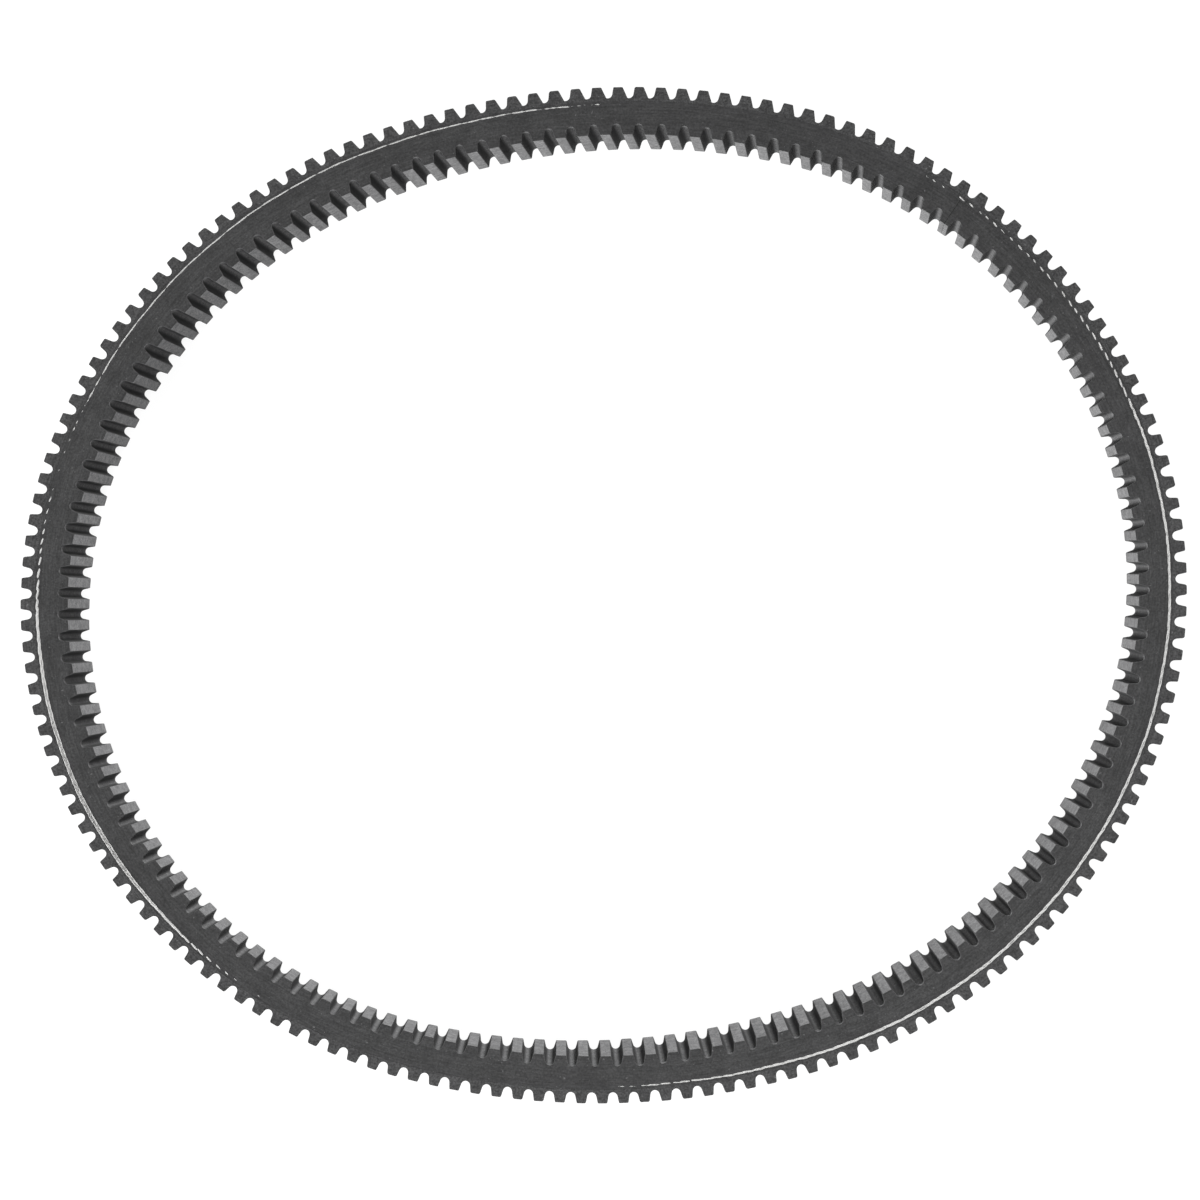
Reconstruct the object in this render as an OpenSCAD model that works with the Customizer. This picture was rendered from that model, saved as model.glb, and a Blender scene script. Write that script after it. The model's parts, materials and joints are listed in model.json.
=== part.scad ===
// Raw-edge, double-cogged variable-speed V-belt, resting on its edge as a relaxed oval loop.
//
// Frame: the origin is the centre of the loop at mid width, +X runs along the oval's long axis
// and +Z across the belt's width. All sizes are in millimetres and degrees.
//
// A place on the loop is given by its "turn": the share of the cord length from the +X end,
// times 360, counted anticlockwise. Equal turns are equal lengths of belt. Heights are measured
// from the cord line, which keeps its length when the belt bends: outwards is positive.
//
// The real belt is one endless moulding. Here it is divided into lengths that hinge on the cord
// line, so that the loop can be squeezed into a longer oval and let out again. Each length holds
// its share of the belt's four layers.

/* [Loop] */
// Length measured round the tips of the outer cogs
outer_length = 1136; // [1060:1:1240]
// Bend of the resting oval's two ends, as a multiple of a circle's
end_bend = 1.186; // [1:0.002:1.24]
// Bend of the resting oval's two sides, as a multiple of a circle's
side_bend = 0.716; // [0.66:0.002:1]

/* [Section] */
// Width over the outer cogs
top_width = 34; // [33:0.5:38]
// Depth from the outer cog tips to the inner cog tips
thickness = 15; // [14.5:0.25:17]
// Slope of each flank, measured from the belt's mid plane
flank_angle = 14; // [11:0.5:15]
// Depth of the cord line below the outer cog tips
cord_depth = 5.3; // [5.2:0.1:5.6]

/* [Outer cogs] */
// Number of outer cogs
outer_cogs = 160; // [144, 160]
// Depth of the gullets between the outer cogs
outer_gullet_depth = 3.5; // [3:0.1:3.6]
// Radius of the gullet floor
outer_floor_r = 1.55; // [1.2:0.05:1.6]
// Slope of the gullet walls
outer_wall_angle = 12; // [6:1:14]
// Radius on the edges of the cog tips
outer_tip_r = 0.75; // [0.3:0.05:0.8]

/* [Inner cogs] */
// Number of inner cogs
inner_cogs = 143; // [131, 143, 147]
// Place of the first inner gullet, as a share of the inner pitch
inner_phase = 0.625; // [0:0.025:0.975]
// Depth of the gullets between the inner cogs
inner_gullet_depth = 3.4; // [3:0.1:4]
// Radius of the gullet floor
inner_floor_r = 1.45; // [1.2:0.05:1.6]
// Slope of the gullet walls
inner_wall_angle = 14; // [6:1:15]
// Radius on the edges of the cog tips
inner_tip_r = 0.6; // [0.3:0.05:0.8]

/* [Cord and gum] */
// Diameter of the twisted tensile cord
cord_d = 1.2; // [0.8:0.05:1.25]
// Sideways step of the cord in one round of the belt
cord_step = 1.34; // [1.3:0.01:1.35]
// Number of rounds that the cord makes
cord_rounds = 22; // [16:1:22]
// Thickness of the gum that the cord is bedded in
gum_thickness = 1.8; // [1.6:0.1:1.9]

/* [Flex] */
// Extra bend at each hinge of the oval's ends when the loop is squeezed fully
squeeze_angle = 12; // [8:1:13]
// Bend lost at the same hinges when the loop is let out into an oval the other way
release_angle = 8; // [4:1:10]

/* [Hidden] */
// The loop is built from eight arcs, each one spanning an eighth of the cord
ARC_TURN = 45;
// The seam lies opposite the middle length, where nothing moves
SEAM_TURN = 45;
LENGTHS = 13;
// Angle added to every hinge slot, and the gap at its root
SLOT_SLACK = 0.4;
SLOT_GAP = 0.06;
SEAM_GAP = 0.1;
// Room round the cord in its gum
CORD_CLEARANCE = 0.02;
// How far the ends of a gullet wall lie inside the circles at its floor and tip, so that they
// cross cleanly
WALL_BITE = 0.04;
// Height above the cog tips at which the tip radii level out, so that they cross the curved tips cleanly
TIP_LIFT = 0.05;
// Amount by which a cutter or a blank runs past the surface it trims
OVERRUN = 2;
BLANK_OVERRUN = 5;

cord_length = outer_length - 2 * PI * cord_depth;
mean_radius = cord_length / (2 * PI);
inner_tip_height = cord_depth - thickness;
gum_top = gum_thickness / 2;

// Depth of the centres of the gullet floors, as heights from the cord line
outer_floor_centre = cord_depth - outer_gullet_depth + outer_floor_r;
inner_floor_centre = inner_tip_height + inner_gullet_depth - inner_floor_r;

// Hinges stand at the middle of each end and side, and one sixteenth of the loop either side of it
HINGES = [for (quarter = [0 : 3]) for (k = [1 : 3]) SEAM_TURN + 90 * quarter + ARC_TURN / 2 * k];
LENGTH_ENDS = concat([SEAM_TURN], HINGES, [SEAM_TURN + 360]);

function two_digits(i) = i < 10 ? str("0", i) : str(i);
LAYERS = ["outer_cogs", "tensile_cord", "cushion_gum", "inner_cogs"];

$fn = 48;
LOOP_FN = 360;

// ---- The cord line: eight arcs that meet with a common tangent ----

function heading(angle) = [cos(angle), sin(angle)];

// The bend of the four shoulder arcs makes up what the ends and sides leave of a full turn
shoulder_bend = 2 - (end_bend + side_bend) / 2;
function bend(arc) = [end_bend, shoulder_bend, side_bend, shoulder_bend][arc % 4];
function radius(arc) = mean_radius / bend(arc);

// Direction of the outward normal where an arc starts
function start_angle(arc) =
    arc == 0 ? -ARC_TURN / 2 * bend(0) : start_angle(arc - 1) + ARC_TURN * bend(arc - 1);

// The end arcs are centred on the X axis and the side arcs on the Y axis
end_centre_x = -(radius(0) - radius(1)) * cos(start_angle(1)) - (radius(1) - radius(2)) * cos(start_angle(2));
function centre(arc) =
    arc == 0 ? [end_centre_x, 0]
             : centre(arc - 1) + (radius(arc - 1) - radius(arc)) * heading(start_angle(arc));

function wrapped(turn) = turn - 360 * floor((turn + ARC_TURN / 2) / 360);
function arc_at(turn) = floor((wrapped(turn) + ARC_TURN / 2) / ARC_TURN);
function normal_angle(turn) =
    let (arc = arc_at(turn))
    start_angle(arc) + (wrapped(turn) - (arc - 0.5) * ARC_TURN) * bend(arc);
function point_at(turn, height) =
    let (arc = arc_at(turn))
    centre(arc) + (radius(arc) + height) * heading(normal_angle(turn));

// Puts a shape drawn as [height, along] at a place on the cord line
module at_turn(turn) {
    translate(point_at(turn, 0))
        rotate(normal_angle(turn))
            children();
}

// A point of the loop, seen from a place on it as [height, along]
function seen_from(turn, point) =
    let (offset = point - point_at(turn, 0), normal = heading(normal_angle(turn)))
    [offset * normal, offset * [-normal.y, normal.x]];

// ---- The section ----

function half_width(height) = top_width / 2 - (cord_depth - height) * tan(flank_angle);

module layer_section(bottom, top) {
    polygon([
        [bottom, -half_width(bottom)],
        [top, -half_width(top)],
        [top, half_width(top)],
        [bottom, half_width(bottom)]
    ]);
}

// Gap at each end of the gum and the cord, which keeps them clear of each other at full flex
gum_end_gap = SLOT_GAP / 2 + gum_top * tan((max(squeeze_angle, release_angle) + SLOT_SLACK) / 2);

// Sweeps a [height, z] section along length i, running past its ends by a distance
module sweep(i, overrun) {
    from = LENGTH_ENDS[i - 1];
    to = LENGTH_ENDS[i];
    arc = arc_at((from + to) / 2);
    past = overrun / radius(arc) * 180 / PI;
    translate(centre(arc))
        rotate_extrude(
            start = normal_angle(from) - past,
            angle = (to - from) * bend(arc) + 2 * past,
            $fn = LOOP_FN
        )
            translate([radius(arc), 0])
                children();
}

// ---- Gullets ----

// A U-shaped gullet that opens towards +X, with its mouth at X = 0 and rounded tip edges
module gullet(depth, floor_r, wall_angle, tip_r) {
    floor_x = floor_r - depth - TIP_LIFT;
    wall_start = [floor_x - floor_r * sin(wall_angle), floor_r * cos(wall_angle) - WALL_BITE];
    mouth = wall_start.y - wall_start.x * tan(wall_angle);
    along_wall = tip_r * (1 - sin(wall_angle)) / cos(wall_angle);
    wall_end = [0, mouth] - along_wall * heading(wall_angle);
    tip_y = wall_end.y + tip_r * cos(wall_angle) - WALL_BITE;
    half = [wall_start, wall_end, [0, tip_y], [OVERRUN, tip_y]];
    translate([TIP_LIFT, 0])
        difference() {
            union() {
                polygon(concat(half, [for (k = [len(half) - 1 : -1 : 0]) [half[k].x, -half[k].y]]));
                translate([floor_x, 0])
                    circle(floor_r);
            }
            for (side = [-1, 1])
                translate([-tip_r, side * tip_y])
                    circle(tip_r);
        }
}

module through_width() {
    linear_extrude(top_width + 2 * OVERRUN, center = true)
        children();
}

// Turns of the evenly spaced gullets that touch length i
function gullet_turns(i, count, phase) =
    let (pitch = 360 / count)
    [for (k = [floor(LENGTH_ENDS[i - 1] / pitch - phase) : ceil(LENGTH_ENDS[i] / pitch - phase)])
        (k + phase) * pitch];

module outer_gullets(i) {
    for (turn = gullet_turns(i, outer_cogs, 0))
        at_turn(turn)
            through_width()
                translate([cord_depth, 0])
                    gullet(outer_gullet_depth, outer_floor_r, outer_wall_angle, outer_tip_r);
}

module inner_gullets(i) {
    for (turn = gullet_turns(i, inner_cogs, inner_phase))
        at_turn(turn)
            through_width()
                translate([inner_tip_height, 0])
                    mirror([1, 0])
                        gullet(inner_gullet_depth, inner_floor_r, inner_wall_angle, inner_tip_r);
}

// ---- Hinge slots ----

// Turn of the inner gullet that is nearest to a place
function nearest_inner(turn) = (round(turn / 360 * inner_cogs - inner_phase) + inner_phase) * 360 / inner_cogs;

function is_seam(turn) = wrapped(turn) == SEAM_TURN;

// The hinges near the ends of the oval bend in when the loop is squeezed, those on its sides open
function is_end_hinge(turn) = cos(2 * turn) > 0;
function closing_angle(turn) =
    is_seam(turn) ? 0 : SLOT_SLACK + (is_end_hinge(turn) ? squeeze_angle : release_angle);
function opening_angle(turn) =
    is_seam(turn) ? 0 : SLOT_SLACK + (is_end_hinge(turn) ? release_angle : squeeze_angle);
function root_gap(turn) = is_seam(turn) ? SEAM_GAP : SLOT_GAP;

// Edge of a slot that runs from the cord line to a target, on one side of it
function slot_edge(target, side, angle, gap) =
    let (reach = norm(target), across = sign(target.x) * [-target.y, target.x] / reach)
    target + side * across * (gap / 2 + reach * tan(angle / 2));

// All that lies beyond the slot at one end of a length. The side is +1 where the length starts
// and -1 where it ends. The slot widens from the cord line to the gullets on either side of it. On
// the inner side it runs square to the belt as far as its elbow, well below the gum, so that the
// inner cogs of one length never reach under the gum of the next.
module beyond_end(turn, side) {
    gap = root_gap(turn);
    outer_target = [outer_floor_centre, 0];
    inner_target = seen_from(turn, point_at(nearest_inner(turn), inner_floor_centre));
    outer_edge = slot_edge(outer_target, side, opening_angle(turn), gap);
    elbow_edge = slot_edge([-gum_thickness, 0], side, closing_angle(turn), gap);
    inner_edge = slot_edge(inner_target, side, closing_angle(turn), gap);
    outside = cord_depth + OVERRUN;
    inside = inner_tip_height - OVERRUN;
    far = -side * 2 * BLANK_OVERRUN;
    at_turn(turn)
        through_width()
            polygon([
                [outside, far],
                [outside, outer_edge.y],
                outer_edge,
                [0, side * gap / 2],
                elbow_edge,
                inner_edge,
                [inside, inner_edge.y],
                [inside, far]
            ]);
}

// A layer of length i, trimmed to the slots at its two ends
module trimmed_layer(i, bottom, top) {
    difference() {
        sweep(i, BLANK_OVERRUN)
            layer_section(bottom, top);
        beyond_end(LENGTH_ENDS[i - 1], 1);
        beyond_end(LENGTH_ENDS[i], -1);
    }
}

// ---- The cord ----

// The helix steps sideways a little from each length to the next
function cord_shift(i) = cord_step * ((LENGTH_ENDS[i - 1] + LENGTH_ENDS[i]) / 2 - SEAM_TURN - 180) / 360;

module cord_sections(i, d) {
    for (k = [0 : cord_rounds - 1])
        translate([0, (k - (cord_rounds - 1) / 2) * cord_step + cord_shift(i)])
            circle(d = d);
}

// ---- The four layers of each length ----

module outer_cogs(i) {
    color("#3f3f41")
        difference() {
            trimmed_layer(i, gum_top, cord_depth);
            outer_gullets(i);
        }
}

module tensile_cord(i) {
    color("#dcd9cf")
        sweep(i, -gum_end_gap)
            cord_sections(i, cord_d);
}

module cushion_gum(i) {
    color("#2a2a2c")
        sweep(i, -gum_end_gap)
            difference() {
                layer_section(-gum_top, gum_top);
                cord_sections(i, cord_d + 2 * CORD_CLEARANCE);
            }
}

module inner_cogs(i) {
    color("#5b5b5d")
        difference() {
            trimmed_layer(i, inner_tip_height, -gum_top);
            inner_gullets(i);
        }
}

for (i = [1 : LENGTHS]) {
    number = two_digits(i);
    outer_cogs(i);
    tensile_cord(i);
    cushion_gum(i);
    inner_cogs(i);
}
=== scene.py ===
"""Looks of a raw-edge, double-cogged variable-speed V-belt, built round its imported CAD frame.

A place on the belt is (s, h, z): s runs along the cord line from the loop's +X end, h is the
height from the cord line, outwards positive, and z is the place across the belt's width.
All lengths are in metres.
"""

import json
import math

import bpy
import numpy as np
from mathutils import Matrix, Vector


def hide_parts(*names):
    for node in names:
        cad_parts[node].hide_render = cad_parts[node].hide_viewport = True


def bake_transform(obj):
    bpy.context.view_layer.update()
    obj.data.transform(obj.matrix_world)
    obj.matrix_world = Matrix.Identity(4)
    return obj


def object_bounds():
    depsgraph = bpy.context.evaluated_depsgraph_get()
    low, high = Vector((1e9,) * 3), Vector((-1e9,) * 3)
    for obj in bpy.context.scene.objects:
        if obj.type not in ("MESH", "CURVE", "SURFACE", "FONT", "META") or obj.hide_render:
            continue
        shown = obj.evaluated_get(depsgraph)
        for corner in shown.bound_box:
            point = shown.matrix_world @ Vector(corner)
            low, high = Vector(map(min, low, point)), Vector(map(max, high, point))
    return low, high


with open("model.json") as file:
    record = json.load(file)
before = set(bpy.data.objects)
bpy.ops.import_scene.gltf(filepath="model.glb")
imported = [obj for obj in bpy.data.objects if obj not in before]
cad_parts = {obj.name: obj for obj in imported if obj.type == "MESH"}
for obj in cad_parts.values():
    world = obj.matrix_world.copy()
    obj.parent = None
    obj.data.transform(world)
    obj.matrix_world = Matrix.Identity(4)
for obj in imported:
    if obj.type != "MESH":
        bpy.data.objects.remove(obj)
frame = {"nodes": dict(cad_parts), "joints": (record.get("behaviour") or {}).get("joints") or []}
CAD_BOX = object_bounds()

MM = 0.001
RANDOM = np.random.default_rng(426)

# ---- Dimensions shared with the CAD model ----

FLANK_SLOPE = math.tan(math.radians(14))
# Only tip_r differs from the CAD model: each tip is rounded by its own share of this radius
OUTER_COGS = {
    "count": 160, "phase": 0.0, "depth": 3.5 * MM,
    "floor_r": 1.55 * MM, "wall": 12, "tip_r": 0.6 * MM,
}
INNER_COGS = {
    "count": 143, "phase": 0.625, "depth": 3.4 * MM,
    "floor_r": 1.45 * MM, "wall": 14, "tip_r": 0.45 * MM,
}
CORD_ROUNDS = 22
CORD_STEP = 1.34 * MM
CORD_R = 0.6 * MM
SEAM_GAP = 0.1 * MM

# ---- Details that only the looks hold ----

EDGE_BEVEL = 0.11 * MM
LAND_WEAR = 0.09 * MM
NICK_DEPTH = 0.16 * MM
END_LAND_DROP = 0.04 * MM
GUM_RECESS = 0.04 * MM
PLY_R = 0.42 * MM
PLY_OFFSET = 0.22 * MM
PLY_TURNS = 158
CORD_PROUD = 0.05 * MM
# The exposed round of cord strays across its line and in depth by waves, as (height, cycles, shift)
CORD_WANDER = [(0.07 * MM, 35, 0.0), (0.04 * MM, 131, 1.0)]
SIDE_RIPPLE = (0.025 * MM, 212)
CORD_RIPPLE = [(0.02 * MM, 521, 0.0), (0.02 * MM, 87, 2.0)]

# The relaxed belt lies a little warped: its upper and lower rims are pushed out by a few waves round
# the loop, as (waves, height, turn of a crest), and slid along it
UPPER_RIM_WAVES = [(3, 0.71 * MM, -58)]
LOWER_RIM_WAVES = [(2, 2.48 * MM, 39), (3, 0.33 * MM, -43)]
UPPER_RIM_SLIDE = 0.74 * MM
LOWER_RIM_SLIDE = -0.1 * MM

# How the outermost round of cord shows in a ground flank, as (turn in degrees, depth below the flank
# in mm, openness of its twist, spread of its frayed filaments). With an open twist the crests of the
# plies show as dashes at depths under PLY_R + PLY_OFFSET. With a closed twist the cord shows as a
# line at depths under PLY_R.
UPPER_CORD_RUNS = [
    (0, 0.3, 0.35, 1.0), (14, 0.34, 0.5, 1.0), (20, 0.5, 0.9, 0.9), (28, 0.56, 1.0, 0.9),
    (36, 0.6, 1.0, 0.9), (46, 0.61, 1.0, 0.9), (52, 0.7, 1.0, 0.9), (80, 0.7, 0.3, 0.9),
    (88, 0.46, 0.1, 0.9), (95, 0.41, 0.05, 0.9), (112, 0.395, 0.05, 0.8), (122, 0.385, 0.05, 0.8),
    (132, 0.4, 0.05, 0.8), (150, 0.405, 0.05, 0.8), (155, 0.5, 0.3, 0.9), (162, 0.68, 1.0, 0.9),
    (168, 0.6, 1.0, 0.9), (173, 0.5, 0.9, 1.0), (178, 0.32, 0.5, 1.1), (190, 0.12, 0.35, 1.35),
    (200, 0.08, 0.3, 1.5), (208, 0.12, 0.3, 1.35), (213, 0.28, 0.3, 1.1), (217, 0.38, 0.4, 1.0),
    (220, 0.52, 0.9, 0.9), (223, 0.62, 1.0, 0.9), (227, 0.7, 1.0, 0.9), (266, 0.6, 0.3, 0.9),
    (271, 0.47, 0.3, 0.9), (279, 0.42, 0.35, 0.9), (285, 0.37, 0.4, 1.0), (305, 0.26, 0.4, 1.0),
    (325, 0.26, 0.35, 1.0), (345, 0.28, 0.3, 1.0), (360, 0.3, 0.35, 1.0),
]
LOWER_CORD_RUNS = [
    (0, 0.7, 1.0, 1.0), (30, 0.6, 1.0, 0.9), (48, 0.48, 0.8, 1.0), (75, 0.3, 0.4, 1.1),
    (100, 0.45, 0.8, 1.0), (120, 0.68, 1.0, 0.9), (190, 0.7, 1.0, 0.9), (205, 0.56, 1.0, 0.9),
    (235, 0.36, 0.4, 1.0), (262, 0.52, 1.0, 0.9), (285, 0.7, 1.0, 0.9), (360, 0.7, 1.0, 1.0),
]


# ---- The cord line, from the frame's hinges ----

def polar(point):
    return math.atan2(point[1], point[0]) % (2 * math.pi)


def circle_through(a, b, c):
    """Centre of the circle through three points."""
    rows = 2 * np.array([b - a, c - a])
    return np.linalg.solve(rows, [b @ b - a @ a, c @ c - a @ a])


def crossing(a, b, c, d):
    """Where the line through a and b meets the line through c and d."""
    share = np.linalg.solve(np.array([b - a, c - d]).T, c - a)
    return a + share[0] * (b - a)


def read_arcs():
    """The eight arcs of the cord line, anticlockwise from the +X end: centre, radius, start angle."""
    points = sorted((np.array(j["pos_m"][:2]) for j in frame["joints"]), key=polar)
    hinges = [points[(k - 1) % 12] for k in range(12)]
    bends = [hinges[3 * q:3 * q + 3] for q in range(4)]
    arcs = []
    for q in range(4):
        centre = circle_through(*bends[q])
        following = bends[(q + 1) % 4]
        next_centre = circle_through(*following)
        shoulder = crossing(centre, bends[q][2], next_centre, following[0])
        for middle, start in ((centre, bends[q][0]), (shoulder, bends[q][2])):
            arm = start - middle
            arcs.append((middle, np.linalg.norm(arm), math.atan2(arm[1], arm[0])))
    return arcs


ARCS = read_arcs()
CENTRES = np.array([a[0] for a in ARCS])
RADII = np.array([a[1] for a in ARCS])
STARTS = np.array([a[2] for a in ARCS])
# The first arc lies evenly about the X axis, and all eight are equally long
ARC_LENGTH = -2 * RADII[0] * STARTS[0]
LOOP = 8 * ARC_LENGTH
PLY_PITCH = LOOP / PLY_TURNS


def arc_index(s):
    return np.floor(np.asarray(s) / ARC_LENGTH + 0.5).astype(int) % 8


def place(s, h):
    """Points (x, y) and outward normals at distances s along the cord line and heights h."""
    k = arc_index(s)
    into_arc = (np.asarray(s) / ARC_LENGTH + 0.5) % 1 * ARC_LENGTH
    angle = STARTS[k] + into_arc / RADII[k]
    normal = np.stack([np.cos(angle), np.sin(angle)], -1)
    return CENTRES[k] + (RADII[k] + h)[..., None] * normal, normal


def node_heights(layer):
    """Lowest and highest place of a layer, as heights from the cord line, read at its second length."""
    co = np.array([v.co for v in frame["nodes"][layer + "_02"].data.vertices])
    # The second length lies wholly on the arc at the +Y side
    side_arc = 2
    centre = CENTRES[side_arc]
    heights = np.hypot(co[:, 0] - centre[0], co[:, 1] - centre[1]) - RADII[side_arc]
    return heights.min(), heights.max()


GUM_BOTTOM, GUM_TOP = node_heights("cushion_gum")
OUTER_TIP = node_heights("outer_cogs")[1]
INNER_TIP = node_heights("inner_cogs")[0]
HALF_WIDTH = (CAD_BOX[1].z - CAD_BOX[0].z) / 2


def half_width(h):
    return HALF_WIDTH - (OUTER_TIP - h) * FLANK_SLOPE


def rim_push(s, waves, slide):
    """How far a rim moves along the loop and outwards. The rim keeps its length."""
    along, out = slide, 0
    for count, height, crest in waves:
        phase = count * (2 * math.pi * s / LOOP - math.radians(crest))
        along = along - height / count * np.sin(phase)
        out = out + height * np.cos(phase)
    return along, out


def warped(s, h, z):
    """Moves places on the belt from the CAD loop to the warped one."""
    share = (z / HALF_WIDTH + 1) / 2
    low = rim_push(s, LOWER_RIM_WAVES, LOWER_RIM_SLIDE)
    high = rim_push(s, UPPER_RIM_WAVES, UPPER_RIM_SLIDE)
    return s + low[0] * (1 - share) + high[0] * share, h + low[1] * (1 - share) + high[1] * share


# ---- Where the pieces start and end ----

def hinge_list():
    """The hinges in the order of the lengths they join: (s, joint), from the seam round the loop."""
    seam = ARC_LENGTH
    found = []
    for joint in frame["joints"]:
        angle = polar(np.array(joint["pos_m"][:2]))
        grid = np.arange(16) * ARC_LENGTH / 2
        points, _ = place(grid, np.zeros(16))
        gaps = [abs((polar(p) - angle + math.pi) % (2 * math.pi) - math.pi) for p in points]
        nearest = int(np.argmin(gaps))
        found.append(((grid[nearest] - seam) % LOOP + seam, joint))
    return sorted(found, key=lambda pair: pair[0])


HINGES = hinge_list()


def seam_opened(limits):
    """Takes half of the gap at the seam off the first piece, and half off the last."""
    return [limits[0] + SEAM_GAP / 2] + limits[1:-1] + [limits[-1] - SEAM_GAP / 2]


def piece_limits(count, phase):
    """Ends of the twelve pieces of a cogged layer: the seam and the middles of the lengths, each moved
    to the middle of the nearest land."""
    at = [s for s, _ in HINGES]
    middles = [(a + b) / 2 for a, b in zip(at, at[1:])]
    pitch = LOOP / count
    first = ARC_LENGTH
    raw = [first] + middles + [first + LOOP]
    return seam_opened([(round(s / pitch - phase - 0.5) + phase + 0.5) * pitch for s in raw])


# ---- Cog outlines ----

def gullet_half(depth, floor_r, wall, tip_r):
    """Half of a gullet's outline from the middle of its floor to the land: (along, depth) points."""
    wall = math.radians(wall)
    floor = np.linspace(0, math.pi / 2 - wall, 6)
    points = [(floor_r * math.sin(a), depth - floor_r + floor_r * math.cos(a)) for a in floor]
    along, low = points[-1]
    high = tip_r * (1 - math.sin(wall))
    for share in (0.4, 0.75):
        d = low + (high - low) * share
        points.append((along + (low - d) * math.tan(wall), d))
    tip_along = along + (low - high) * math.tan(wall) + tip_r * math.cos(wall)
    for b in np.linspace(wall, math.pi / 2, 5):
        points.append((tip_along - tip_r * math.cos(b), tip_r - tip_r * math.sin(b)))
    return points


def cog_outline(cogs, tip_height, side):
    """The closed outline of one cogged skin: s, h and a tone for each cog, from s = 0 round the loop.

    side is +1 for the outer skin and -1 for the inner one."""
    pitch = LOOP / cogs["count"]
    wear = RANDOM.uniform(0.0, LAND_WEAR, cogs["count"])
    tone = RANDOM.normal(0.0, 1.0, cogs["count"]).clip(-2, 2)
    s_all, h_all, tone_all = [], [], []
    for k in range(cogs["count"]):
        centre_s = (k + cogs["phase"]) * pitch + RANDOM.normal(0, 0.035 * MM)
        rho = RADII[arc_index(centre_s)]
        gullet = {
            "depth": cogs["depth"] + RANDOM.normal(0, 0.05 * MM),
            "floor_r": cogs["floor_r"] * RANDOM.uniform(0.97, 1.0),
            "wall": cogs["wall"] + RANDOM.normal(0, 0.6),
        }
        halves = [gullet_half(tip_r=cogs["tip_r"] * RANDOM.uniform(0.6, 1.5), **gullet) for _ in range(2)]
        across = [(-u, d) for u, d in reversed(halves[0])] + halves[1][1:]
        for u, d in across:
            x = rho + tip_height - side * d
            h = math.hypot(x, u) - rho
            land = tip_height - side * wear[k if u > 0 else k - 1]
            h_all.append(min(h, land) if side > 0 else max(h, land))
            s_all.append(centre_s + rho * math.atan2(u, x))
            tone_all.append(tone[k if u > 0 else k - 1])
        land_start = s_all[-1]
        land_end = (k + 1 + cogs["phase"]) * pitch - (land_start - centre_s)
        for share in (0.33, 0.67):
            s_all.append(land_start + (land_end - land_start) * share)
            h_all.append(tip_height - side * wear[k])
            tone_all.append(tone[k])
    return np.array(s_all), np.array(h_all), np.array(tone_all)


def wave(s, cycles, shift=0.0):
    """A sine that runs a whole number of cycles round the loop."""
    return np.sin(2 * math.pi * cycles * s / LOOP + shift)


def smooth_noise(count, coarse, amount):
    """Seeded smooth values for a closed run of columns, with a coarse number of independent knots."""
    knots = RANDOM.normal(0, amount, coarse)
    at = np.linspace(0, coarse, count, endpoint=False)
    return np.interp(at, np.arange(coarse + 1), np.append(knots, knots[0]))


# ---- Mesh building ----

def loft(rings, first_vertex=0):
    """Faces of a closed tube through rings of equal size, capped at both ends."""
    columns, size = rings
    index = first_vertex + np.arange(columns * size).reshape(columns, size)
    a, b = index[:-1], index[1:]
    sides = np.stack([a, b, np.roll(b, -1, 1), np.roll(a, -1, 1)], -1).reshape(-1, 4).tolist()
    return sides + [index[0].tolist(), index[-1][::-1].tolist()]


def runs_clockwise(h, z):
    """True if a ring's points run clockwise as seen along the loop, which would turn its faces inwards."""
    return np.sum(h * np.roll(z, -1) - np.roll(h, -1) * z) < 0


class Shell:
    """A closed mesh with its place on the belt and its marks stored on each point."""

    def __init__(self):
        self.points = []
        self.marks = []
        self.faces = []
        self.count = 0

    def add_tube(self, s, h, z, **marks):
        """Adds a lofted tube from arrays shaped [column, place round the ring]."""
        xy, _ = place(*warped(s, h, z))
        points = np.concatenate([xy, z[..., None]], -1).reshape(-1, 3)
        faces = loft(s.shape, self.count)
        if runs_clockwise(h[0], z[0]):
            faces = [face[::-1] for face in faces]
        values = {"s": s, "h": h}
        values.update(marks)
        self.marks.append({key: np.broadcast_to(v, s.shape).reshape(-1) for key, v in values.items()})
        self.points.append(points)
        self.faces += faces
        self.count += len(points)

    def build(self, name, material):
        points = np.concatenate(self.points)
        mesh = bpy.data.meshes.new(name)
        mesh.from_pydata(points.tolist(), [], self.faces)
        mesh.materials.append(material)
        marks = {key: np.concatenate([m[key] for m in self.marks]) for key in self.marks[0]}
        turn = 2 * math.pi * marks.pop("s") / LOOP
        height = marks.pop("h") / MM
        store(mesh, "rest_mm", points / MM)
        store(mesh, "round_loop", np.stack([np.cos(turn), np.sin(turn), height], -1))
        for key, values in marks.items():
            store(mesh, key, values)
        mesh.shade_smooth()
        mesh.set_sharp_from_angle(angle=math.radians(38))
        piece = bpy.data.objects.new(name, mesh)
        bpy.context.scene.collection.objects.link(piece)
        return piece


def store(mesh, name, values):
    kind, field = ("FLOAT_VECTOR", "vector") if values.ndim == 2 else ("FLOAT", "value")
    mesh.attributes.new(name, kind, "POINT").data.foreach_set(field, values.astype(np.float32).ravel())


def bend_piece(piece, number, layer):
    """Bakes a piece's place into its mesh and hides the CAD nodes it stands for."""
    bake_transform(piece)
    stood_for = [f"{layer}_{number + 1:02d}"]
    if number == len(HINGES) - 1:
        stood_for.append(f"{layer}_{number + 2:02d}")
    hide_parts(*stood_for)


def piece_name(layer, number):
    return f"{layer}_bend_{number + 1:02d}"


# ---- The two cogged layers ----

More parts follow.
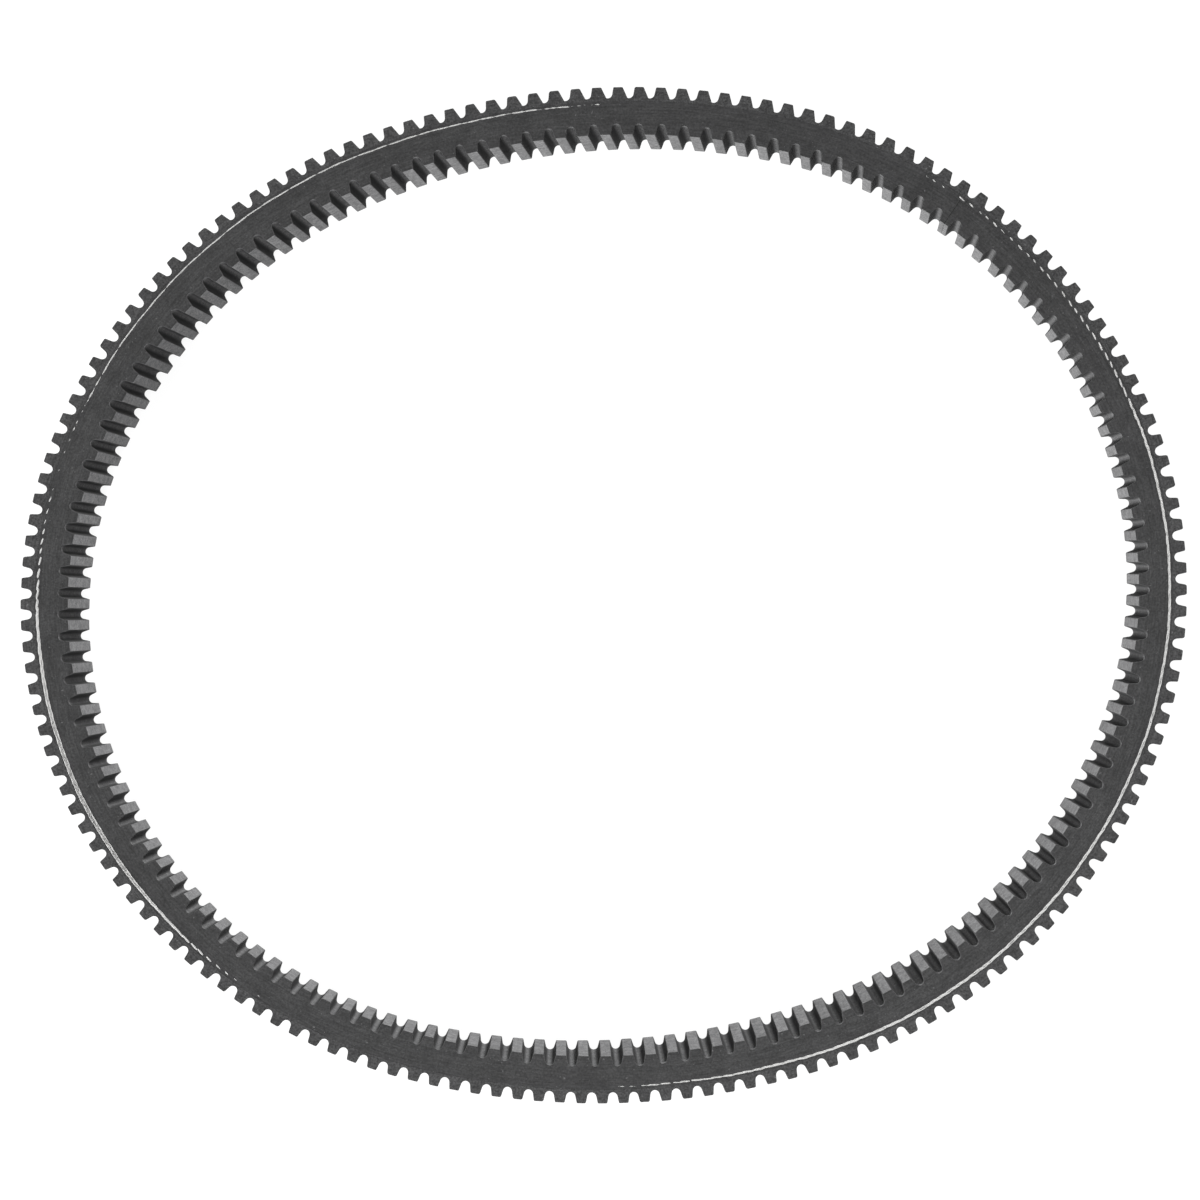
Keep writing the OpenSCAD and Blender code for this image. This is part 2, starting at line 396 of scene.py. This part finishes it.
def cut_columns(s, start, end, margin=0.25 * MM):
    """Indices, and loop counts, of the outline columns between two places, which may pass s = LOOP."""
    picks = []
    for lap in (-1, 0, 1):
        at = s + lap * LOOP
        inside = np.nonzero((at > start + margin) & (at < end - margin))[0]
        picks += [(at[i], i) for i in inside]
    picks.sort()
    return np.array([p[0] for p in picks]), np.array([p[1] for p in picks])


def cogged_layer(layer, material, cogs, base, tip_height, flank_rows):
    side = 1 if tip_height > base else -1
    s, h, tone = cog_outline(cogs, tip_height, side)
    ds = np.gradient(np.concatenate([s[-2:] - LOOP, s, s[:2] + LOOP]))[2:-2]
    dh = np.gradient(np.concatenate([h[-2:], h, h[:2]]))[2:-2]
    length = np.hypot(ds, dh)
    normal_s, normal_h = -side * dh / length, side * ds / length
    count = len(s)
    nicks = np.clip(RANDOM.normal(0, 1, (2, count)) - 2.2, 0, 1) * NICK_DEPTH
    bevels = [EDGE_BEVEL * (1 + smooth_noise(count, count // 5, 0.22)).clip(0.5, 1.6) + n for n in nicks]
    waves = [smooth_noise(count, count // 3, 0.012 * MM) for _ in range(3)]
    limits = piece_limits(cogs["count"], cogs["phase"])
    shares = np.linspace(0, 1, flank_rows + 1)[:-1]
    across = np.linspace(1, -1, 9)

    for number in range(len(HINGES)):
        start, end = limits[number], limits[number + 1]
        at, i = cut_columns(s, start, end)
        # The two end columns lie on the lands, square to the belt
        at = np.concatenate([[start], at, [end]])
        land = tip_height - side * END_LAND_DROP
        pick = np.concatenate([[i[0]], i, [i[-1]]])
        hh = h[pick]
        n_s = normal_s[pick].copy()
        n_h = normal_h[pick].copy()
        hh[[0, -1]] = land
        n_s[[0, -1]] = 0
        n_h[[0, -1]] = side
        rings_s, rings_h, rings_z, skin, wall = [], [], [], [], []

        def add(s_row, h_row, z_row, on_skin):
            rings_s.append(s_row)
            rings_h.append(h_row)
            rings_z.append(z_row)
            skin.append(np.full(len(at), float(on_skin)))
            wall.append(np.abs(n_s) * on_skin)

        def bevel_on(sign):
            bevel = bevels[0 if sign > 0 else 1][pick]
            bevel[[0, -1]] = EDGE_BEVEL
            return bevel

        def flank(sign, order):
            bevel = bevel_on(sign)
            edge_s = at - bevel * n_s
            edge_h = hh - bevel * n_h
            for share in order:
                row_h = base + (edge_h - base) * share
                add(at + (edge_s - at) * share, row_h, sign * half_width(row_h), 0)

        flank(1, [*shares, 1.0])
        for k, share in enumerate(across):
            sag = np.abs(waves[k % 3][pick]) * (1 - share ** 2)
            sag[[0, -1]] = 0
            add(at, hh - side * sag, share * (half_width(hh) - bevel_on(share)), 1)
        flank(-1, [1.0, *shares[::-1]])

        shell = Shell()
        shape = [np.stack(rows, 1) for rows in (rings_s, rings_h, rings_z, skin, wall)]
        # Depth and steepness are stored for the shader, which paints shade on gullet floors and, in part,
        # on their walls
        depth = np.broadcast_to(((tip_height - hh) * side / cogs["depth"])[:, None], shape[0].shape)
        tones = np.broadcast_to(tone[pick][:, None], shape[0].shape)
        shell.add_tube(*shape[:3], skin=shape[3], wall=shape[4], depth=depth, tone=tones)
        bend_piece(shell.build(piece_name(layer, number), material), number, layer)


# ---- The cord and its gum ----

def even_columns(start, end, step):
    return np.linspace(start, end, max(2, round((end - start) / step) + 1))


def round_limits():
    """Ends of the twelve cord and gum pieces: the seam and the middles of the lengths."""
    at = [s for s, _ in HINGES]
    return seam_opened([ARC_LENGTH] + [(a + b) / 2 for a, b in zip(at, at[1:])] + [ARC_LENGTH + LOOP])


def helix_z(index, s):
    """Place across the belt of one round of the cord, which steps sideways by a pitch in each lap."""
    lap = (s - ARC_LENGTH) / LOOP - 0.5
    return (index - (CORD_ROUNDS - 1) / 2) * CORD_STEP + CORD_STEP * lap


def plain_round(shell, index, start, end):
    """One buried round of the cord."""
    s = even_columns(start, end, 4 * MM)[:, None]
    angle = np.linspace(0, 2 * math.pi, 10, endpoint=False)[None, :]
    shape = (len(s), 10)
    h = np.broadcast_to(CORD_R * np.cos(angle), shape)
    z = helix_z(index, s) + CORD_R * np.sin(angle)
    shell.add_tube(np.broadcast_to(s, shape), h, z, fibre=np.broadcast_to(angle / math.pi, shape))


def wave_sum(s, waves):
    return sum(height * wave(s, cycles, shift) for height, cycles, shift in waves)


def ground_round(shell, sign, runs, start, end):
    """The outermost round on one side: two twisted plies, cut flush where the flank grinds into them."""
    s = even_columns(start, end, 0.5 * MM)[:, None]
    turn = (s / LOOP * 360) % 360
    turns, *columns = zip(*runs)
    depth, openness, spread = (np.interp(turn, turns, column) for column in columns)
    wander = wave_sum(s, CORD_WANDER)
    # The side's sign shifts one wave, so that the two sides differ
    ripple = wave_sum(s, [(*SIDE_RIPPLE, sign), *CORD_RIPPLE])
    offset = PLY_OFFSET * openness
    angle = np.linspace(0, 2 * math.pi, 12, endpoint=False)[None, :]
    for ply in (0, math.pi):
        twist = 2 * math.pi * s / PLY_PITCH + ply + 0.35 * wave(s, 51)
        h = wander + spread * (offset * np.sin(twist) + PLY_R * np.sin(angle))
        below = -depth * MM + ripple + offset * np.cos(twist) + PLY_R * np.cos(angle)
        z = sign * (half_width(h) + np.minimum(below, CORD_PROUD))
        fibre = np.broadcast_to(angle / math.pi + s / PLY_PITCH, h.shape)
        shell.add_tube(np.broadcast_to(s, h.shape), h, z, fibre=fibre)


def tensile_cord(material):
    limits = round_limits()
    for number in range(len(HINGES)):
        shell = Shell()
        for index in range(1, CORD_ROUNDS - 1):
            plain_round(shell, index, limits[number], limits[number + 1])
        ground_round(shell, 1, UPPER_CORD_RUNS, limits[number], limits[number + 1])
        ground_round(shell, -1, LOWER_CORD_RUNS, limits[number], limits[number + 1])
        piece = shell.build(piece_name("tensile_cord", number), material)
        bend_piece(piece, number, "tensile_cord")


def cushion_gum(material):
    limits = round_limits()
    heights = [GUM_BOTTOM, GUM_BOTTOM / 3, GUM_TOP / 3, GUM_TOP]
    across = np.linspace(1, -1, 7)
    ring = [(h, 1.0) for h in heights] + [(GUM_TOP, share) for share in across[1:-1]]
    ring += [(h, -1.0) for h in reversed(heights)] + [(GUM_BOTTOM, share) for share in across[-2:0:-1]]
    for number in range(len(HINGES)):
        s = even_columns(limits[number], limits[number + 1], 1.2 * MM)[:, None]
        h = np.array([r[0] for r in ring])[None, :] + 0 * s
        share = np.array([r[1] for r in ring])[None, :]
        recess = GUM_RECESS * (1 + 0.3 * wave(s, 97) + 0.2 * wave(s, 246))
        z = share * (half_width(h) - recess)
        shell = Shell()
        shell.add_tube(np.broadcast_to(s, h.shape), h, z, skin=np.zeros(h.shape))
        piece = shell.build(piece_name("cushion_gum", number), material)
        bend_piece(piece, number, "cushion_gum")


# ---- Materials ----

class Shader:
    """Builds a material's node tree in short calls that return sockets."""

    def __init__(self, name):
        self.material = bpy.data.materials.new(name)
        self.material.use_nodes = True
        self.tree = self.material.node_tree
        self.surface = self.tree.nodes["Principled BSDF"]

    def node(self, kind, settings=None, **inputs):
        made = self.tree.nodes.new(kind)
        for key, value in (settings or {}).items():
            setattr(made, key, value)
        for key, value in inputs.items():
            socket = made.inputs[int(key[1:])] if key[0] == "i" and key[1:].isdigit() else made.inputs[key]
            self.feed(socket, value)
        return made

    def feed(self, socket, value):
        if isinstance(value, bpy.types.NodeSocket):
            self.tree.links.new(value, socket)
        else:
            socket.default_value = value

    def attribute(self, name, vector=False):
        made = self.node("ShaderNodeAttribute", {"attribute_name": name})
        return made.outputs["Vector" if vector else "Fac"]

    def scaled(self, vector, scale):
        return self.node("ShaderNodeVectorMath", {"operation": "MULTIPLY"}, i0=vector, i1=scale).outputs[0]

    def noise(self, vector, scale, detail=2.0, roughness=0.5):
        made = self.node(
            "ShaderNodeTexNoise", Vector=vector, Scale=scale, Detail=detail, Roughness=roughness
        )
        return made.outputs["Fac"]

    def math(self, operation, a, b=0.0):
        return self.node("ShaderNodeMath", {"operation": operation}, i0=a, i1=b).outputs[0]

    def ramp(self, value, low, high, to_low=0.0, to_high=1.0):
        """Maps low..high to to_low..to_high, clamped and eased."""
        made = self.node(
            "ShaderNodeMapRange", {"interpolation_type": "SMOOTHSTEP"},
            i0=value, i1=low, i2=high, i3=to_low, i4=to_high,
        )
        return made.outputs[0]

    def mix(self, share, a, b):
        """Mixes two values."""
        return self.node("ShaderNodeMix", {"data_type": "FLOAT"}, i0=share, i2=a, i3=b).outputs[0]

    def grey(self, value, tint=(1.0, 1.0, 1.0)):
        """A colour from one lightness value and a tint."""
        parts = [self.math("MULTIPLY", value, t) for t in tint]
        return self.node("ShaderNodeCombineColor", Red=parts[0], Green=parts[1], Blue=parts[2]).outputs[0]

    def bump(self, height, distance, strength=1.0):
        return self.node("ShaderNodeBump", Height=height, Distance=distance, Strength=strength).outputs[0]

    def finish(self, colour, roughness, normal, specular=0.3, **more):
        for name, value in {
            "Base Color": colour, "Roughness": roughness, "Normal": normal,
            "Specular IOR Level": specular, **more,
        }.items():
            self.feed(self.surface.inputs[name], value)
        return self.material


def ground_rubber(shader, lightness, grit):
    """Lightness and height of a flank: fine grinding lines round the loop, mottling and light specks.

    grit is how strongly its grain shows."""
    loop = shader.attribute("round_loop", vector=True)
    rest = shader.attribute("rest_mm", vector=True)
    lines = shader.noise(shader.scaled(loop, (9, 9, 1.7)), 1.0, 4.0, 0.65)
    fine = shader.noise(shader.scaled(loop, (45, 45, 2.8)), 1.0, 3.0, 0.6)
    cloud = shader.noise(rest, 0.13, 3.0, 0.55)
    grain = shader.noise(rest, 1.5, 4.0, 0.7)
    fibres = shader.ramp(shader.noise(shader.scaled(loop, (150, 150, 5)), 1.0, 1.0), 0.7, 0.8)
    specks = shader.ramp(shader.noise(rest, 1.3, 1.0, 0.3), 0.74, 0.8)
    texture = shader.math("ADD", shader.math("MULTIPLY", lines, 0.5), shader.math("MULTIPLY", fine, 0.5))
    value = shader.math("MULTIPLY", shader.ramp(texture, 0.3, 0.7, 0.68, 1.32), lightness)
    value = shader.math("MULTIPLY", value, shader.ramp(cloud, 0.3, 0.7, 0.88, 1.12))
    value = shader.math("MULTIPLY", value, shader.ramp(grain, 0.25, 0.75, 1 - grit, 1 + grit))
    value = shader.math("ADD", value, shader.math("MULTIPLY", fibres, lightness * 0.7))
    value = shader.math("ADD", value, shader.math("MULTIPLY", specks, lightness * 1.6))
    height = shader.math("ADD", texture, shader.math("MULTIPLY", grain, 0.5))
    return value, height


def moulded_rubber(shader, land, floor, wall):
    """Lightness and height of a cogged skin: dusty lands, gullet floors darkened with depth as painted
    shade, and almost black walls that are partly their own dark rubber and partly painted shade.
    """
    rest = shader.attribute("rest_mm", vector=True)
    tone = shader.attribute("tone")
    depth = shader.attribute("depth")
    # Steep gullet walls take the wall lightness, which is partly the rubber's own dark and partly painted
    # shade
    wall_dark_and_shade_mask = shader.ramp(shader.attribute("wall"), 0.15, 0.85)
    grain = shader.noise(rest, 1.6, 4.0, 0.75)
    patches = shader.noise(rest, 0.45, 3.0, 0.6)
    scuffs = shader.ramp(shader.noise(rest, 0.9, 3.0, 0.6), 0.6, 0.7)
    # Gullet floors are painted darker than the lands as they deepen: painted shade in the recesses
    value = shader.mix(shader.ramp(depth, 0.3, 0.8), land, floor)
    value = shader.math("MULTIPLY", value, shader.math("ADD", shader.math("MULTIPLY", tone, 0.06), 1.0))
    value = shader.math("MULTIPLY", value, shader.ramp(grain, 0.25, 0.75, 0.5, 1.5))
    value = shader.math("MULTIPLY", value, shader.ramp(patches, 0.3, 0.7, 0.78, 1.22))
    unscuffed = shader.math("SUBTRACT", 1.0, shader.math("MULTIPLY", scuffs, 0.45))
    value = shader.math("MULTIPLY", value, unscuffed)
    value = shader.mix(wall_dark_and_shade_mask, value, wall)
    height = shader.math("ADD", grain, shader.math("MULTIPLY", patches, 0.8))
    return value, height


def cogged_rubber(name, flank, grit, land, floor, wall):
    shader = Shader(name)
    skin = shader.attribute("skin")
    flank_value, flank_height = ground_rubber(shader, flank, grit)
    skin_value, skin_height = moulded_rubber(shader, land, floor, wall)
    # The edge between flank and skin is scuffed lighter
    edge = shader.ramp(shader.math("ABSOLUTE", shader.math("SUBTRACT", skin, 0.5)), 0.1, 0.45, 1.0, 0.0)
    value = shader.mix(skin, flank_value, skin_value)
    value = shader.math("ADD", value, shader.math("MULTIPLY", edge, flank * 0.5))
    height = shader.mix(skin, flank_height, skin_height)
    roughness = shader.ramp(height, 0.2, 1.4, 0.72, 0.92)
    colour = shader.grey(value, (1.0, 1.0, 1.015))
    return shader.finish(colour, roughness, shader.bump(height, 0.04 * MM, 0.7), specular=0.18)


def gum_rubber():
    shader = Shader("gum")
    value, height = ground_rubber(shader, 0.0225, 0.35)
    colour = shader.grey(value, (1.0, 1.0, 1.02))
    roughness = shader.ramp(height, 0.2, 1.4, 0.65, 0.85)
    return shader.finish(colour, roughness, shader.bump(height, 0.03 * MM, 0.7), specular=0.2)


def cord_fibre():
    """Off-white yarn: filaments that follow the twist of each ply, soiled in places by rubber dust."""
    shader = Shader("cord")
    rest = shader.attribute("rest_mm", vector=True)
    fibre = shader.attribute("fibre")
    strands = shader.math("SINE", shader.math("MULTIPLY", fibre, 44.0))
    fuzz = shader.noise(rest, 4.5, 3.0, 0.7)
    soil = shader.ramp(shader.noise(rest, 0.55, 3.0, 0.6), 0.5, 0.75)
    yarn = shader.ramp(fuzz, 0.2, 0.8, 0.29, 0.43)
    value = shader.math("ADD", shader.math("MULTIPLY", strands, 0.025), yarn)
    value = shader.math("MULTIPLY", value, shader.math("SUBTRACT", 1.0, shader.math("MULTIPLY", soil, 0.3)))
    height = shader.math("ADD", shader.math("MULTIPLY", strands, 0.4), fuzz)
    colour = shader.grey(value, (1.0, 0.995, 0.98))
    return shader.finish(
        colour, 0.85, shader.bump(height, 0.05 * MM, 0.8), specular=0.2, **{"Sheen Weight": 0.15}
    )


# The floor is a light table, whose glow keeps shadows pale. It reaches past the view from low angles.
FLOOR_GLOW = 0.93
FLOOR_SIZE = 80
WORLD_GLOW = 0.2
# Each lamp is a disk that points at the loop's centre: name, place in metres, diameter and power
LAMPS = [
    ("key", (0.8, 1.4, 0.62), 0.9, 54),
    ("fill", (-0.95, -0.66, 0.6), 0.7, 34),
    ("low", (-0.09, -0.52, 0.6), 0.3, 3.4),
]
CAMERA_AIM = Vector((-0.51 * MM, -1.1 * MM, 0))
CAMERA_PLACE = Vector((37.98 * MM, 0.81 * MM, 792.12 * MM))
IMAGE_UP = math.radians(86.3)
LENS = 70.8
SENSOR = 36


def floor_material():
    shader = Shader("studio_floor")
    place_on_floor = shader.node("ShaderNodeTexCoord").outputs["Object"]
    haze = shader.noise(place_on_floor, 6.0, 2.0)
    colour = shader.grey(shader.ramp(haze, 0.2, 0.8, 0.115, 0.125))
    return shader.finish(
        colour, 0.9, shader.bump(haze, 0.01 * MM), specular=0.0,
        **{"Emission Color": (1.0, 1.0, 1.0, 1.0), "Emission Strength": FLOOR_GLOW},
    )


# ---- Studio ----

def studio_floor():
    bpy.ops.mesh.primitive_plane_add(size=FLOOR_SIZE, location=(0, 0, CAD_BOX[0].z))
    floor = bpy.context.object
    floor.name = "studio_floor"
    floor.data.materials.append(floor_material())


def area_light(name, location, size, power):
    data = bpy.data.lights.new(name, "AREA")
    data.shape = "DISK"
    data.size = size
    data.energy = power
    light = bpy.data.objects.new(name, data)
    light.location = location
    light.rotation_euler = (-Vector(location)).to_track_quat("-Z", "Y").to_euler()
    bpy.context.scene.collection.objects.link(light)


def studio_light():
    world = bpy.data.worlds.new("studio")
    world.use_nodes = True
    background = world.node_tree.nodes["Background"]
    background.inputs["Color"].default_value = (1.0, 1.0, 1.0, 1.0)
    background.inputs["Strength"].default_value = WORLD_GLOW
    bpy.context.scene.world = world
    for lamp in LAMPS:
        area_light(*lamp)


def studio_camera():
    """Looks almost straight down from above the loop, rolled a little against its long axis."""
    back = (CAMERA_PLACE - CAMERA_AIM).normalized()
    right = Vector((math.cos(IMAGE_UP), math.sin(IMAGE_UP), 0)).cross(back).normalized()
    up = back.cross(right)
    data = bpy.data.cameras.new("camera")
    data.sensor_width = SENSOR
    data.lens = LENS
    camera = bpy.data.objects.new("camera", data)
    turned = Matrix((right, up, back)).transposed().to_4x4()
    camera.matrix_world = Matrix.Translation(CAMERA_PLACE) @ turned
    bpy.context.scene.collection.objects.link(camera)
    bpy.context.scene.camera = camera
    bpy.context.scene.view_settings.view_transform = "Standard"


# ---- The whole object ----

# floor and wall are darker than land partly as painted shade in the gullets; the walls are also dark rubber
outer_rubber = cogged_rubber("outer_rubber", flank=0.03, grit=0.65, land=0.034, floor=0.028, wall=0.015)
inner_rubber = cogged_rubber("inner_rubber", flank=0.0245, grit=0.4, land=0.127, floor=0.1, wall=0.027)
cogged_layer("outer_cogs", outer_rubber, OUTER_COGS, GUM_TOP, OUTER_TIP, flank_rows=3)
cogged_layer("inner_cogs", inner_rubber, INNER_COGS, GUM_BOTTOM, INNER_TIP, flank_rows=5)
cushion_gum(gum_rubber())
tensile_cord(cord_fibre())

studio_floor()
studio_light()
studio_camera()
